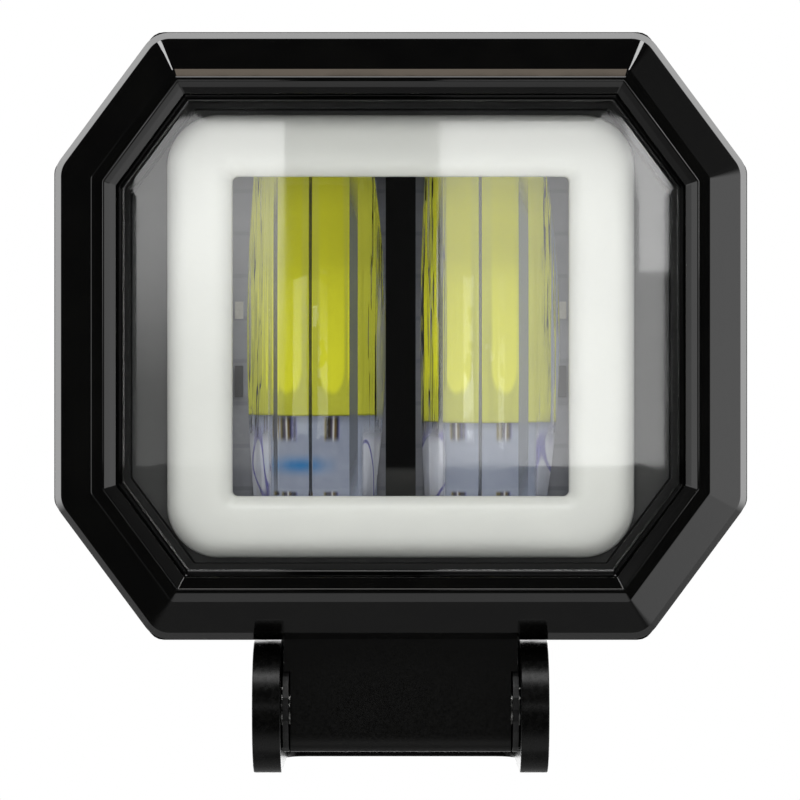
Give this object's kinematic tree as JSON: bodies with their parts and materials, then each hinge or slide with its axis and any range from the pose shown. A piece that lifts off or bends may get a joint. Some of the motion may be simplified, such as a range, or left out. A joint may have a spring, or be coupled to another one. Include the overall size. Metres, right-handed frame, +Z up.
{
  "type": "fog light",
  "caption": "Small octagonal LED fog light: black bezel, clear lens, opal halo ring, projector bars over light strips, finned housing, tilting on a U-bracket.",
  "frame": {"origin": "centre of the bracket's mounting hole, on the rear face of its base plate", "axes": "+Z up, the lamp looks along -Y, +X to the right of a person facing the lamp"},
  "size_m": [0.0984, 0.0425, 0.1057],
  "materials": {
    "gloss_black": "glossy moulded black plastic",
    "cast_black": "die-cast aluminium, black powder coat",
    "plate_black": "bent steel plate, semi-gloss black",
    "clear": "clear polycarbonate",
    "clear_bar": "clear moulded acrylic",
    "opal": "opal white light-diffusing plastic",
    "seal_rubber": "black silicone rubber",
    "tray_black": "satin black plastic",
    "board_white": "pale grey solder mask on a metal-core board",
    "phosphor_yellow": "yellow phosphor in silicone",
    "part_dark": "black moulded component body",
    "part_pale": "pale component body",
    "copper_wire": "enamelled copper winding",
    "pad_grey": "grey gap-filling silicone sheet",
    "screw_steel": "black-oxide steel",
    "nylon": "natural nylon"
  },
  "bodies": {
    "bracket": {"mounting_bracket": "plate_black", "pivot_screw_left": "screw_steel", "pivot_screw_right": "screw_steel"},
    "lamp": {"front_bezel": "gloss_black", "outer_lens": "clear", "lens_seal": "seal_rubber", "halo_diffuser": "opal", "halo_led_board": "board_white", "inner_tray": "tray_black", "lens_bar_left": "clear_bar", "lens_bar_right": "clear_bar", "lens_holder": "tray_black", "cob_base_left": "board_white", "cob_base_right": "board_white", "phosphor_left": "phosphor_yellow", "phosphor_right": "phosphor_yellow", "led_board": "board_white", "driver_chip": "part_dark", "inductor": "copper_wire", "lead_connector": "part_pale", "capacitor": "part_dark", "diode_left": "part_dark", "diode_right": "part_dark", "resistor_left": "part_pale", "resistor_right": "part_pale", "thermal_pad": "pad_grey", "board_screw_1": "screw_steel", "board_screw_2": "screw_steel", "board_screw_3": "screw_steel", "board_screw_4": "screw_steel", "bezel_screw_1": "screw_steel", "bezel_screw_2": "screw_steel", "bezel_screw_3": "screw_steel", "bezel_screw_4": "screw_steel", "rear_housing": "cast_black", "cable_gland": "seal_rubber", "vent_plug": "seal_rubber", "friction_washer_left": "nylon", "friction_washer_right": "nylon"}
  },
  "joints": [
    {"name": "lamp_tilt", "type": "hinge", "parent": "bracket", "child": "lamp", "pos_m": [0, -0.0305, 0], "axis": [1, 0, 0], "range_deg": [0, 180]}
  ]
}
